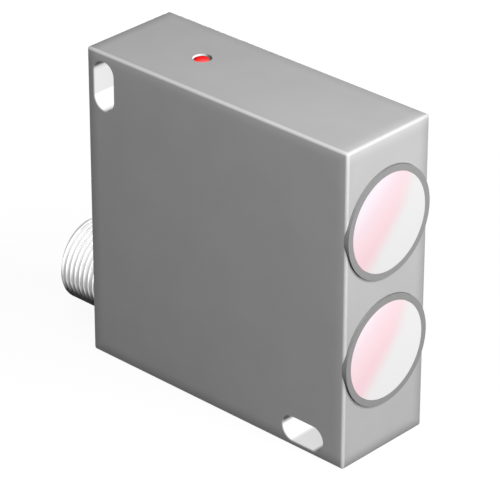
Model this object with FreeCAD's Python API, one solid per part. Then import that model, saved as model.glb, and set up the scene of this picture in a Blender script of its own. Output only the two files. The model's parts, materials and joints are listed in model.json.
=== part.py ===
"""Optical sensor in a square metal housing, with two lenses, one indicator and a rear plug-in connector.

Millimetres. X runs along the length (lenses at +X, connector at -X), Y through the thickness (the side
cover is at +Y) and Z up. The origin is the middle of the housing's bottom face.
"""
import FreeCAD, Part
import math
import os

# Lenses and their bezels, placed from the bottom face up
lens_diameter = 16.0
lens_edge_thickness = 1.6
lens_front_rise = 0.3
lens_rear_rise = 2.2
lower_lens_height = 17.2
lens_spacing = 21.5
upper_lens_drop = 14.3
bezel_rim = 1.0
bezel_flange = 0.9
bezel_proud = 0.4
sleeve_wall = 0.4
seal_width = 0.75
seal_thickness = 0.5
lip_width = 1.0
lip_thickness = 1.0

# Housing
body_length = 53.0
edge_radius = 0.5
floor_wall = 1.4
shell_wall = 2.0
thin_wall = 0.35
cavity_corner = 1.5
fit_gap = 0.05

# Mounting slots, right through the thickness
slot_width = 4.2
slot_length = 8.2
rear_slot_wall = 1.5
front_slot_wall = 4.0
front_slot_floor = 1.0
slot_boss_wall = 2.0
slot_boss_corner = 3.0

# Side cover, its gasket and its screws
cover_thickness = 1.2
cover_ledge = 1.0
gasket_thickness = 0.4
gasket_margin = 0.1
pillar_diameter = 3.8
pillar_gap = 0.2
pillar_setback = 5.0
cover_screw_diameter = 2.0
cover_screw_length = 6.0
cover_head_diameter = 3.6
cover_head_depth = 0.9
driver_length = 1.9
driver_width = 0.4
driver_depth = 0.5

# Rear connector
connector_height = 9.55
thread_diameter = 14.0
thread_length = 9.7
root_diameter = 13.0
socket_diameter = 10.4
socket_depth = 6.7
mouth_chamfer = 0.2
rear_block = 2.0
rear_block_margin = 1.5
groove_depth = 0.7
groove_width = 1.4
insert_rim = 0.8
insert_flange = 1.0
pin_count = 4
pin_circle = 7.8
pin_diameter = 1.0
pin_reach = 5.2
pin_tail = 1.2
pin_gap = 0.02
key_width = 1.2
key_height = 0.7
key_setback = 1.5
wire_diameter = 0.9
wire_bend = 1.3
wire_run = 2.6
wire_step = 1.6

# Circuit board
board_thickness = 1.6
board_standoff = 1.0
board_gap = 0.15
board_corner = 1.0
board_margin = 0.8
board_screw_diameter = 2.0
board_screw_length = 3.2
board_head_diameter = 3.4
board_head_height = 1.2
board_screw_inset = 2.2
standoff_diameter = 3.6

# What stands on the board, placed from its rear edge and from the height midway between the lenses
chip_width = 3.9
chip_height = 1.5
chip_lift = 0.1
leg_pitch = 1.27
leg_width = 0.4
leg_reach = 1.05
leg_thickness = 0.2
chip_setback = 12.0
controller_rise = 2.5
controller_legs = 8
amplifier_drop = 4.5
amplifier_legs = 4
capacitor_diameter = 6.3
capacitor_height = 7.0
capacitor_setback = 3.6
capacitor_rise = 3.5
capacitor_edge = 0.4
regulator_setback = 3.4
regulator_drop = 4.0
regulator_size = (4.5, 1.5, 2.5)
transistor_setback = 11.5
transistor_rise = 4.5
transistor_size = (6.5, 1.7, 3.5)
resistor_setback = 19.0
resistor_count = 6
resistor_pitch = 2.0
resistor_size = (2.0, 0.5, 1.25)
ceramic_setback = 9.0
ceramic_rise = 8.3
ceramic_count = 4
ceramic_pitch = 2.5
ceramic_size = (1.25, 0.9, 2.0)
protector_setback = 4.1
protector_drop = 11.0
protector_count = 2
protector_pitch = 6.5
protector_size = (4.3, 2.1, 2.6)
protector_tab = (0.35, 1.1, 1.5)

# Light tubes, the diodes in them and the wire leads
tube_gap = 0.1
tube_setback = 0.4
tube_wall = 0.8
tube_length = 18.8
tube_collar = 0.5
tube_socket = 4.4
foot_width = 3.0
foot_length = 3.0
foot_setback = 0.5
diode_diameter = 5.0
diode_flange_diameter = 5.8
diode_flange = 1.0
diode_height = 8.6
lead_diameter = 0.5
lead_pitch = 2.54
lead_bend = 1.0
lead_run = 2.5
lead_end = 0.5

# Indicator in the top face
indicator_setback = 15.7
indicator_diameter = 2.8
indicator_gap = 0.12
indicator_depth = 0.03
indicator_rise = 0.27
indicator_flange_diameter = 3.8
indicator_flange = 1.0
indicator_drop = 2.0

# Lens group, from the front face backwards
lens_heights = {"emitter": lower_lens_height + lens_spacing, "receiver": lower_lens_height}
lens_middle = lower_lens_height + lens_spacing / 2
aperture = lens_diameter / 2
bezel_radius = aperture + bezel_rim
sleeve_radius = aperture + sleeve_wall
lip_radius = aperture - lip_width
seal_radius = aperture - seal_width
front = body_length / 2
bezel_front = front + bezel_proud
flange_back = bezel_front - bezel_flange
lens_back = bezel_front - lens_edge_thickness
lip_front = lens_back - seal_thickness
sleeve_back = lip_front - lip_thickness

# Housing: as thick as the bezels are wide, unless the connector or the lips need more
body_height = lower_lens_height + lens_spacing + upper_lens_drop
inner_reach = max(root_diameter / 2, lip_radius) + fit_gap + thin_wall
far = max(bezel_radius, inner_reach + floor_wall, inner_reach + gasket_thickness + cover_thickness)
near = -far
rear = -front
floor = near + floor_wall
cover_seat = far - cover_thickness
ledge_seat = cover_seat - gasket_thickness
cavity_rear = rear + shell_wall
cavity_front = sleeve_back - cover_ledge - thin_wall
cavity_bottom = shell_wall
cavity_top = body_height - shell_wall

# Slot centres, and the inner sides of the bosses round them
rear_slot = (rear + rear_slot_wall + slot_width / 2, body_height - rear_slot_wall - slot_length / 2)
front_slot = (front - front_slot_wall - slot_length / 2, front_slot_floor + slot_width / 2)
rear_boss_side = rear_slot[0] + slot_width / 2 + slot_boss_wall
rear_boss_floor = rear_slot[1] - slot_length / 2 - slot_boss_wall
front_boss_side = front_slot[0] - slot_length / 2 - slot_boss_wall
front_boss_top = front_slot[1] + slot_width / 2 + slot_boss_wall

# Connector planes, from the mouth inwards
mouth = rear - thread_length
socket_floor = mouth + socket_depth
shell_end = cavity_rear + rear_block
insert_end = shell_end + insert_flange
tail_end = insert_end + pin_tail
thread_radius = thread_diameter / 2
socket_radius = socket_diameter / 2
root_radius = root_diameter / 2
bore_radius = root_radius + fit_gap
groove_radius = root_radius - groove_depth
groove_place = (rear + shell_end) / 2
wire_front = tail_end + wire_run + wire_step
pin_angles = [math.radians(45 + pin * 360 / pin_count) for pin in range(pin_count)]
pin_places = [(pin_circle / 2 * math.cos(angle), connector_height + pin_circle / 2 * math.sin(angle))
              for angle in pin_angles]

# Pillars for the cover screws stand beside the bottom and the top wall
pillar_radius = pillar_diameter / 2
pillar_low = cavity_bottom + pillar_gap + pillar_radius
pillar_high = cavity_top - pillar_gap - pillar_radius
pillars = [
    (wire_front + wire_diameter + pillar_radius, pillar_low),
    (rear_boss_side + pillar_gap + pillar_radius, pillar_high),
    (front_boss_side - pillar_gap - pillar_radius, pillar_low),
    (cavity_front - pillar_setback, pillar_high),
]

# Light tubes and leads
lead_sides = {"anode": 1, "cathode": -1}
tube_front = lip_front - tube_setback
tube_rear = tube_front - tube_length
throat = tube_rear + tube_socket
lead_place = tube_rear - lead_run
indicator_place = rear + indicator_setback

# Board between the pillars, from the rear slot's boss to the feet of the light tubes
board_back = floor + board_standoff
board_face = board_back + board_thickness
board_bottom = pillar_low + pillar_radius + board_gap
board_top = pillar_high - pillar_radius - board_gap
board_rear = rear_boss_side + pillar_gap
board_front = tube_rear + foot_setback + foot_length + board_margin
indicator_pad = board_top - indicator_drop
board_corners = [
    (x, z)
    for x in (board_rear + board_screw_inset, board_front - board_screw_inset)
    for z in (board_bottom + board_screw_inset, board_top - board_screw_inset)
]
board_screw_places = board_corners[1:3]


def box(x0, x1, y0, y1, z0, z1):
    """A block between two corners."""
    return Part.makeBox(x1 - x0, y1 - y0, z1 - z0, FreeCAD.Vector(x0, y0, z0))


def rod_x(x0, x1, radius, y, z):
    """A round rod along X."""
    return Part.makeCylinder(radius, x1 - x0, FreeCAD.Vector(x0, y, z), FreeCAD.Vector(1, 0, 0))


def rod_y(y0, y1, radius, x, z):
    """A round rod along Y."""
    return Part.makeCylinder(radius, y1 - y0, FreeCAD.Vector(x, y0, z), FreeCAD.Vector(0, 1, 0))


def rod_z(z0, z1, radius, x, y):
    """A round rod along Z."""
    return Part.makeCylinder(radius, z1 - z0, FreeCAD.Vector(x, y, z0))


def turned(profile, place, along):
    """A turned solid from (distance along the axis, radius) points; "arc" marks a point midway on an arc."""
    side = FreeCAD.Vector(0, 0, 1) if along.z == 0 else FreeCAD.Vector(1, 0, 0)
    points = [place + along * point[-2] + side * point[-1] for point in profile]
    edges = []
    index = 0
    while index < len(profile):
        ahead = (index + 1) % len(profile)
        beyond = (index + 2) % len(profile)
        if profile[ahead][0] == "arc":
            edges.append(Part.Arc(points[index], points[ahead], points[beyond]).toShape())
            index += 2
        else:
            edges.append(Part.LineSegment(points[index], points[ahead]).toShape())
            index += 1
    return Part.Face(Part.Wire(edges)).revolve(place, along, 360)


def turned_x(profile, z):
    """A solid turned about an X axis at y = 0."""
    return turned(profile, FreeCAD.Vector(0, 0, z), FreeCAD.Vector(1, 0, 0))


def dome_middle(radius, rise):
    """Radius and height of the point midway along a dome's profile, from its rim to its top."""
    sphere = (radius ** 2 + rise ** 2) / (2 * rise)
    half_angle = math.asin(min(1.0, radius / sphere)) / 2
    return sphere * math.sin(half_angle), rise - sphere * (1 - math.cos(half_angle))


def unit(vector):
    """A vector's direction."""
    return vector * (1 / vector.Length)


def rounded_prism(corners, y0, y1):
    """A plate between two Y planes, from an outline of (x, z, corner radius) points."""
    points = [FreeCAD.Vector(x, y0, z) for x, z, radius in corners]
    arcs = []
    for index, here in enumerate(points):
        radius = corners[index][2]
        back = unit(points[index - 1] - here)
        ahead = unit(points[(index + 1) % len(points)] - here)
        half_angle = back.getAngle(ahead) / 2
        reach = radius / math.tan(half_angle)
        centre = here + unit(back + ahead) * (radius / math.sin(half_angle))
        arcs.append((here + back * reach, centre + unit(here - centre) * radius, here + ahead * reach))
    edges = []
    for index, (start, middle, end) in enumerate(arcs):
        edges.append(Part.Arc(start, middle, end).toShape())
        edges.append(Part.LineSegment(end, arcs[(index + 1) % len(arcs)][0]).toShape())
    return Part.Face(Part.Wire(edges)).extrude(FreeCAD.Vector(0, y1 - y0, 0))


def rectangle(x0, x1, z0, z1, radius):
    """Corner list of a rectangle with equal corner radii."""
    return [(x0, z0, radius), (x1, z0, radius), (x1, z1, radius), (x0, z1, radius)]


def slot_cut(centre, along_x, along_z):
    """A cutter for a slot with round ends that goes through the whole thickness."""
    x, z = centre
    y0 = near - fit_gap
    y1 = far + fit_gap
    radius = min(along_x, along_z) / 2
    run_x = along_x / 2 - radius
    run_z = along_z / 2 - radius
    ends = [rod_y(y0, y1, radius, x + side * run_x, z + side * run_z) for side in (-1, 1)]
    wide = run_x or radius
    tall = run_z or radius
    return box(x - wide, x + wide, y0, y1, z - tall, z + tall).fuse(ends).removeSplitter()


def bent_wire(start, corner, end, bend, diameter):
    """A round wire through three points, with one bend at the middle one."""
    back = unit(start - corner)
    ahead = unit(end - corner)
    centre = corner + (back + ahead) * bend
    first = corner + back * bend
    last = corner + ahead * bend
    middle = centre + unit(corner - centre) * bend
    run_in = Part.makeCylinder(diameter / 2, (first - start).Length, start, unit(corner - start))
    run_out = Part.makeCylinder(diameter / 2, (end - last).Length, last, unit(end - corner))
    section = Part.Face(Part.Wire(Part.makeCircle(diameter / 2, first, unit(corner - start))))
    turn = section.revolve(centre, unit((first - centre).cross(middle - centre)), 90)
    return run_in.fuse([turn, run_out]).removeSplitter()


def pocket_outline(grow):
    """The cavity's outline, which goes round both slot bosses, grown outwards all round."""
    left = cavity_rear - grow
    right = cavity_front + grow
    bottom = cavity_bottom - grow
    top = cavity_top + grow
    inner = cavity_corner + grow
    outer = slot_boss_corner - grow
    return [
        (left, bottom, inner),
        (front_boss_side + grow, bottom, inner),
        (front_boss_side + grow, front_boss_top - grow, outer),
        (right, front_boss_top - grow, inner),
        (right, top, inner),
        (rear_boss_side - grow, top, inner),
        (rear_boss_side - grow, rear_boss_floor + grow, outer),
        (left, rear_boss_floor + grow, inner),
    ]


def make_housing():
    """Box with the cavity open to the far side, stepped lens bores, slot bosses and screw pillars."""
    shell = box(rear, front, near, far, 0, body_height)
    shell = shell.makeFillet(edge_radius, shell.Edges)
    cavity = rounded_prism(pocket_outline(0), floor, far + fit_gap)
    rebate = rounded_prism(pocket_outline(cover_ledge), ledge_seat, far + fit_gap)
    shell = shell.cut([cavity, rebate])
    block_top = connector_height + bore_radius + rear_block_margin
    root = floor - floor_wall / 2
    added = [box(cavity_rear, shell_end, root, ledge_seat, cavity_bottom, block_top)]
    added += [rod_y(root, cover_seat, pillar_radius, x, z) for x, z in pillars]
    added += [rod_y(root, board_back, standoff_diameter / 2, x, z) for x, z in board_corners]
    shell = shell.fuse(added)
    cuts = [rod_x(rear - fit_gap, shell_end + fit_gap, bore_radius, 0, connector_height)]
    for height in lens_heights.values():
        cuts.append(rod_x(flange_back, front + fit_gap, bezel_radius + fit_gap, 0, height))
        cuts.append(rod_x(sleeve_back, front, sleeve_radius + fit_gap, 0, height))
        cuts.append(rod_x(cavity_front - fit_gap, front, lip_radius + fit_gap, 0, height))
    cuts.append(slot_cut(rear_slot, slot_width, slot_length))
    cuts.append(slot_cut(front_slot, slot_length, slot_width))
    cuts.append(rod_z(cavity_top - fit_gap, body_height + fit_gap, indicator_diameter / 2 + indicator_gap,
                      indicator_place, 0))
    cuts += [rod_y(far - cover_screw_length - fit_gap, far, cover_screw_diameter / 2 + fit_gap, x, z)
             for x, z in pillars]
    cuts += [rod_y(board_face - board_screw_length - fit_gap, board_back + fit_gap,
                   board_screw_diameter / 2 + fit_gap, x, z) for x, z in board_screw_places]
    return shell.cut(cuts).removeSplitter()


def cover_screw(x, z, gap):
    """Countersunk screw along Y with its head flush at the far side, grown by a gap."""
    shank = cover_screw_diameter / 2 + gap
    head = cover_head_diameter / 2 + gap
    profile = [
        (far - cover_screw_length, 0),
        (far - cover_screw_length, shank),
        (far - cover_head_depth, shank),
        (far, head),
        (far, 0),
    ]
    return turned(profile, FreeCAD.Vector(x, 0, z), FreeCAD.Vector(0, 1, 0))


def make_cover():
    """Flat plate that fills the rebate, with countersunk screw holes."""
    plate = rounded_prism(pocket_outline(cover_ledge - fit_gap), cover_seat, far)
    return plate.cut([cover_screw(x, z, fit_gap) for x, z in pillars])


def cross_recess(x, z, top, depth):
    """Cutter for the cross recess in a screw head that faces the far side."""
    half_long = driver_length / 2
    half_wide = driver_width / 2
    flat = box(x - half_long, x + half_long, top - depth, top + depth, z - half_wide, z + half_wide)
    upright = box(x - half_wide, x + half_wide, top - depth, top + depth, z - half_long, z + half_long)
    return flat.fuse(upright)


def make_cover_screws():
    """Four countersunk screws."""
    return Part.makeCompound([
        cover_screw(x, z, 0).cut(cross_recess(x, z, far, driver_depth)) for x, z in pillars
    ])


def make_gasket():
    """Flat rubber ring between the ledge and the cover."""
    outer = rounded_prism(pocket_outline(cover_ledge - gasket_margin), ledge_seat, cover_seat)
    inner = rounded_prism(pocket_outline(gasket_margin), ledge_seat - fit_gap, cover_seat + fit_gap)
    return outer.cut(inner)


def make_bezel(height):
    """Ring that holds a lens: flange outside, sleeve in the front wall, lip behind the lens."""
    return turned_x([
        (bezel_front, aperture),
        (bezel_front, bezel_radius),
        (flange_back, bezel_radius),
        (flange_back, sleeve_radius),
        (sleeve_back, sleeve_radius),
        (sleeve_back, lip_radius),
        (lip_front, lip_radius),
        (lip_front, aperture),
    ], height)


def make_lens(height):
    """Lens with a nearly flat front face and a strongly domed rear face."""
    edge = aperture - fit_gap
    dome = seal_radius - fit_gap
    front_middle, front_height = dome_middle(edge, lens_front_rise)
    rear_middle, rear_height = dome_middle(dome, lens_rear_rise)
    return turned_x([
        (bezel_front, edge),
        (lens_back, edge),
        (lens_back, dome),
        ("arc", lens_back - rear_height, rear_middle),
        (lens_back - lens_rear_rise, 0),
        (bezel_front + lens_front_rise, 0),
        ("arc", bezel_front + front_height, front_middle),
    ], height)


def make_lens_seal(height):
    """Flat rubber ring between a lens and its bezel's lip."""
    return turned_x([
        (lip_front, seal_radius),
        (lip_front, aperture - fit_gap),
        (lens_back, aperture - fit_gap),
        (lens_back, seal_radius),
    ], height)


def make_light_tube(height):
    """Funnel from the diode to the lens, with a foot that stands on the board."""
    spigot = lip_radius - tube_gap
    collar = cavity_front - tube_collar
    pocket = diode_flange_diameter / 2 + tube_gap
    barrel = diode_diameter / 2 + tube_gap
    socket = pocket + tube_wall
    tube = turned_x([
        (tube_front, spigot - tube_wall),
        (tube_front, spigot),
        (collar, spigot),
        (throat, socket),
        (tube_rear, socket),
        (tube_rear, pocket),
        (tube_rear + diode_flange, pocket),
        (tube_rear + diode_flange, barrel),
        (throat, barrel),
        (collar, spigot - tube_wall),
    ], height)
    foot_start = tube_rear + foot_setback
    foot_top = -pocket - tube_wall / 2
    foot = box(foot_start, foot_start + foot_length, board_face, foot_top,
               height - foot_width / 2, height + foot_width / 2)
    return tube.fuse(foot)


def make_diode(height):
    """Round diode with a flange behind and a domed front, on a lens axis."""
    radius = diode_diameter / 2
    flange = diode_flange_diameter / 2
    shoulder = tube_rear + diode_height - radius
    diagonal = radius * math.sqrt(0.5)
    return turned_x([
        (tube_rear, 0),
        (tube_rear, flange),
        (tube_rear + diode_flange, flange),
        (tube_rear + diode_flange, radius),
        (shoulder, radius),
        ("arc", shoulder + diagonal, diagonal),
        (shoulder + radius, 0),
    ], height)


def make_diode_lead(height, side):
    """One of the two leads from a diode's back, bent down through the board."""
    z = height + side * lead_pitch / 2
    return bent_wire(
        FreeCAD.Vector(tube_rear, 0, z),
        FreeCAD.Vector(lead_place, 0, z),
        FreeCAD.Vector(lead_place, board_back - lead_end, z),
        lead_bend, lead_diameter,
    )


def lead_holes():
    """Places on the board where a lead goes through it."""
    reach = [side * lead_pitch / 2 for side in lead_sides.values()]
    places = [(lead_place, height + offset) for height in lens_heights.values() for offset in reach]
    return places + [(indicator_place + offset, indicator_pad) for offset in reach]


def make_board():
    """Circuit board with holes for two screws and for every lead."""
    plate = rounded_prism(rectangle(board_rear, board_front, board_bottom, board_top, board_corner),
                          board_back, board_face)
    holes = [rod_y(board_back, board_face, board_screw_diameter / 2 + fit_gap, x, z)
             for x, z in board_screw_places]
    holes += [rod_y(board_back, board_face, lead_diameter / 2 + fit_gap, x, z) for x, z in lead_holes()]
    return plate.cut(holes)


def make_board_screws():
    """Two flat-headed screws that hold the board."""
    shank = board_screw_diameter / 2
    head = board_head_diameter / 2
    top = board_face + board_head_height
    screws = []
    for x, z in board_screw_places:
        screw = turned([
            (board_face - board_screw_length, 0),
            (board_face - board_screw_length, shank),
            (board_face, shank),
            (board_face, head),
            (top, head),
            (top, 0),
        ], FreeCAD.Vector(x, 0, z), FreeCAD.Vector(0, 1, 0))
        screws.append(screw.cut(cross_recess(x, z, top, driver_depth)))
    return Part.makeCompound(screws)


def make_chip(z, legs_per_side):
    """Chip with a row of bent legs along each long side."""
    x = board_rear + chip_setback
    half_length = legs_per_side * leg_pitch / 2
    half_width = chip_width / 2
    base = board_face + chip_lift
    body = box(x - half_length, x + half_length, base, base + chip_height, z - half_width, z + half_width)
    middle = base + chip_height / 2
    legs = []
    for index in range(legs_per_side):
        leg_x = x + (index - (legs_per_side - 1) / 2) * leg_pitch
        for side in (-1, 1):
            edge = z + side * half_width
            bend = z + side * (half_width + leg_reach / 2)
            toe = z + side * (half_width + leg_reach)
            x0 = leg_x - leg_width / 2
            x1 = leg_x + leg_width / 2
            legs.append(box(x0, x1, middle - leg_thickness / 2, middle + leg_thickness / 2,
                            min(edge, bend), max(edge, bend)))
            legs.append(box(x0, x1, board_face, middle + leg_thickness / 2,
                            min(bend, bend - side * leg_thickness), max(bend, bend - side * leg_thickness)))
            legs.append(box(x0, x1, board_face, board_face + leg_thickness, min(bend, toe), max(bend, toe)))
    return body.fuse(legs).removeSplitter()


def board_block(x, z, size):
    """A block of the given length, height and width that stands on the board."""
    length, height, width = size
    return box(x - length / 2, x + length / 2, board_face, board_face + height, z - width / 2, z + width / 2)


def make_power_package(x, z, size):
    """Power package: moulded body, a wide tab on one side and three legs on the other."""
    length, _, width = size
    body = board_block(x, z, size)
    foot = board_face + leg_thickness * 2
    reach = width / 2 + leg_reach
    pieces = [box(x - length / 4, x + length / 4, board_face, foot, z, z + reach)]
    for step in (-1, 0, 1):
        leg_x = x + step * length / 3
        pieces.append(box(leg_x - leg_width, leg_x + leg_width, board_face, foot, z - reach, z))
    return body.fuse(pieces).removeSplitter()


def make_capacitor():
    """Round capacitor can that stands on the board, with a rounded top rim."""
    radius = capacitor_diameter / 2
    top = board_face + capacitor_height
    can = rod_y(board_face, top, radius, board_rear + capacitor_setback, lens_middle + capacitor_rise)
    rims = [edge for edge in can.Edges if edge.BoundBox.YMin > top - capacitor_edge]
    return can.makeFillet(capacitor_edge, rims)


def make_resistor(index):
    """One small chip resistor of the column."""
    z = lens_middle + (index - (resistor_count - 1) / 2) * resistor_pitch
    return board_block(board_rear + resistor_setback, z, resistor_size)


def make_ceramic(index):
    """One ceramic chip capacitor of the row above the larger chip."""
    x = board_rear + ceramic_setback + index * ceramic_pitch
    return board_block(x, lens_middle + ceramic_rise, ceramic_size)


def make_protector(index):
    """One protection diode of the supply: moulded body with a bent tab at each end."""
    x = board_rear + protector_setback + index * protector_pitch
    z = lens_middle - protector_drop
    tab_length, tab_height, tab_width = protector_tab
    tabs = board_block(x, z, (protector_size[0] + 2 * tab_length, tab_height, tab_width))
    return board_block(x, z, protector_size).fuse(tabs).removeSplitter()


def make_indicator():
    """Red lamp with a flange under the top wall and a low dome just below the top face."""
    radius = indicator_diameter / 2
    flange = indicator_flange_diameter / 2
    top = body_height - indicator_depth
    rim = top - indicator_rise
    seat = cavity_top - fit_gap
    middle, height = dome_middle(radius, indicator_rise)
    return turned([
        (seat - indicator_flange, 0),
        (seat - indicator_flange, flange),
        (seat, flange),
        (seat, radius),
        (rim, radius),
        ("arc", rim + height, middle),
        (top, 0),
    ], FreeCAD.Vector(indicator_place, 0, 0), FreeCAD.Vector(0, 0, 1))


def make_indicator_lead(side):
    """One of the two leads from the lamp's base, bent back through the board near its top edge."""
    x = indicator_place + side * lead_pitch / 2
    return bent_wire(
        FreeCAD.Vector(x, 0, cavity_top - fit_gap - indicator_flange),
        FreeCAD.Vector(x, 0, indicator_pad),
        FreeCAD.Vector(x, board_back - lead_end, indicator_pad),
        lead_bend, lead_diameter,
    )


def make_connector_shell():
    """Round stub with the outside thread's full diameter, a groove for its ring and a key in the socket."""
    shell = turned_x([
        (mouth, thread_radius - mouth_chamfer),
        (mouth + mouth_chamfer, thread_radius),
        (rear, thread_radius),
        (rear, root_radius),
        (groove_place - groove_width / 2, root_radius),
        (groove_place - groove_width / 2, groove_radius),
        (groove_place + groove_width / 2, groove_radius),
        (groove_place + groove_width / 2, root_radius),
        (shell_end, root_radius),
        (shell_end, socket_radius),
        (mouth + mouth_chamfer, socket_radius),
        (mouth, socket_radius + mouth_chamfer),
    ], connector_height)
    key_top = connector_height + (socket_radius + groove_radius) / 2
    key = box(mouth + key_setback, socket_floor, -key_width / 2, key_width / 2,
              connector_height + socket_radius - key_height, key_top)
    return shell.fuse(key)


def make_connector_ring():
    """Rubber ring that seals the shell in the rear wall."""
    section = (bore_radius - groove_radius) / 2
    return Part.makeTorus(groove_radius + section, section - pin_gap,
                          FreeCAD.Vector(groove_place, 0, connector_height), FreeCAD.Vector(1, 0, 0))


def make_insert():
    """Insulator at the bottom of the socket, with a rear flange and a hole for each pin."""
    radius = socket_radius - fit_gap
    flange = socket_radius + insert_rim
    body = turned_x([
        (socket_floor, 0),
        (socket_floor, radius),
        (shell_end, radius),
        (shell_end, flange),
        (insert_end, flange),
        (insert_end, 0),
    ], connector_height)
    holes = [rod_x(socket_floor - fit_gap, insert_end + fit_gap, pin_diameter / 2 + pin_gap, y, z)
             for y, z in pin_places]
    return body.cut(holes)


def make_pin(y, z):
    """Round contact pin with a rounded nose towards the mouth."""
    radius = pin_diameter / 2
    nose = socket_floor - pin_reach
    diagonal = radius * (1 - math.sqrt(0.5))
    return turned([
        (nose, 0),
        ("arc", nose + diagonal, radius - diagonal),
        (nose + radius, radius),
        (tail_end, radius),
        (tail_end, 0),
    ], FreeCAD.Vector(0, y, z), FreeCAD.Vector(1, 0, 0))


def make_wire(y, z):
    """Short insulated wire from a pin's tail to the board; the far pair comes down one step further on."""
    x = tail_end + wire_run + (wire_step if y > 0 else 0)
    return bent_wire(
        FreeCAD.Vector(tail_end, y, z),
        FreeCAD.Vector(x, y, z),
        FreeCAD.Vector(x, board_face, z),
        wire_bend, wire_diameter,
    )


parts = {
    "housing": make_housing(),
    "side_cover": make_cover(),
    "cover_screws": make_cover_screws(),
    "cover_gasket": make_gasket(),
    "connector_shell": make_connector_shell(),
    "connector_ring": make_connector_ring(),
    "connector_insert": make_insert(),
    "circuit_board": make_board(),
    "board_screws": make_board_screws(),
    "controller_chip": make_chip(lens_middle + controller_rise, controller_legs),
    "amplifier_chip": make_chip(lens_middle - amplifier_drop, amplifier_legs),
    "smoothing_capacitor": make_capacitor(),
    "voltage_regulator": make_power_package(board_rear + regulator_setback, lens_middle - regulator_drop,
                                            regulator_size),
    "output_transistor": make_power_package(board_rear + transistor_setback, board_bottom + transistor_rise,
                                            transistor_size),
    "indicator_lamp": make_indicator(),
}
for index in range(resistor_count):
    parts["chip_resistor_" + str(index + 1)] = make_resistor(index)
for index in range(ceramic_count):
    parts["ceramic_capacitor_" + str(index + 1)] = make_ceramic(index)
for index in range(protector_count):
    parts["protection_diode_" + str(index + 1)] = make_protector(index)
for index, (y, z) in enumerate(pin_places):
    parts["contact_pin_" + str(index + 1)] = make_pin(y, z)
    parts["connector_wire_" + str(index + 1)] = make_wire(y, z)
for name, height in lens_heights.items():
    parts[name + "_bezel"] = make_bezel(height)
    parts[name + "_lens"] = make_lens(height)
    parts[name + "_lens_seal"] = make_lens_seal(height)
    parts[name + "_light_tube"] = make_light_tube(height)
    parts[name + "_diode"] = make_diode(height)
    for lead, side in lead_sides.items():
        parts[name + "_" + lead + "_lead"] = make_diode_lead(height, side)
for lead, side in lead_sides.items():
    parts["indicator_" + lead + "_lead"] = make_indicator_lead(side)

os.makedirs("parts", exist_ok=True)
for node, shape in parts.items():
    shape.exportStep("parts/" + node + ".step")
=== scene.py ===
import json
import math

import bpy
import numpy as np
from mathutils import Matrix, Vector


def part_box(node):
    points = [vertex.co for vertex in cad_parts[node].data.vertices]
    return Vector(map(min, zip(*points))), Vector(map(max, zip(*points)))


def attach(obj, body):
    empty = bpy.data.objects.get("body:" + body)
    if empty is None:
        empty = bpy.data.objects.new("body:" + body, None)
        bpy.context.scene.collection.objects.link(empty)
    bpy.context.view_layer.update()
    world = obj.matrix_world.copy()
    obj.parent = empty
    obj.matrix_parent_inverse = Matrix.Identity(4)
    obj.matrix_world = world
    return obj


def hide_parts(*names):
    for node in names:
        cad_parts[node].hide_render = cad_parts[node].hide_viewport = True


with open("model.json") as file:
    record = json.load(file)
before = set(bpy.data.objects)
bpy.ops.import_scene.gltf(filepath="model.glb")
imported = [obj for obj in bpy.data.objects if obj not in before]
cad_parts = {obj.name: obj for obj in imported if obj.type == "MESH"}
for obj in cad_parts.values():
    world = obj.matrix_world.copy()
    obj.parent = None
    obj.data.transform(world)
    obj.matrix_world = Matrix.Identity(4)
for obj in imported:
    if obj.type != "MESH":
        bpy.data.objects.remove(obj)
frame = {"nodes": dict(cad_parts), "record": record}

MM = 0.001
FULL_TURN = 2 * math.pi

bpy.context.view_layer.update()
nodes = frame["nodes"]
mounts = {mount["name"]: mount for mount in frame["record"]["mounts"]}

# Faces of the housing, in metres
house_low, house_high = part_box("housing")
front, rear = house_high.x, house_low.x
far, near = house_high.y, house_low.y
top = house_high.z
middle = Vector((0, 0, top / 2))
edge_radius = 0.5 * MM

# Widths beside the outside edges: of the bands of painted light and painted shade, and of the coat's
# roll-off
band_width = 2.4 * MM
roll_width = 2.0 * MM

# Slots for the fixing screws: half their width, half the straight run between their round ends, and the
# width of the painted shade and light round them, which stand in for broken rims
slot_radius = 2.1 * MM
slot_run = 2.0 * MM
painted_rim_width = 0.25 * MM

# Directions in X and Z from a slot's middle, which steer the painted light and shade in the slots. Its
# wall at the lower rear faces the front and up, where the studio is brightest, and its wall at the upper
# rear faces the front and down.
lower_rear = (-0.76, -0.65)
upper_rear = (-0.74, 0.67)

# Lamp, and the hole it stands in. The hole's wall is bare as far as half its height from its middle, which
# lies below the top face.
lamp_low, lamp_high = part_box("indicator_lamp")
lamp_place = (lamp_low + lamp_high) / 2
lamp_hole_radius = 1.52 * MM
lamp_wall_middle = 0.9 * MM
lamp_wall_half = 0.86 * MM
lamp_dome = 1.2 * MM

# How far a mask reaches past the wall that it picks
slack = 0.05 * MM

# Bezels, proud of the front face, and the lenses in them: edge thickness, radii of the edge and of the rear
# dome, rise of both domes, and steps of the turned mesh
bezel_proud = 0.4 * MM
lens_edge = 1.6 * MM
lens_radius = 7.95 * MM
rear_dome_radius = 7.2 * MM
front_rise = 0.3 * MM
rear_rise = 2.2 * MM
pole_radius = 0.05 * MM
lens_columns = 96
front_dome_steps = 12
rear_dome_steps = 20

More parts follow.
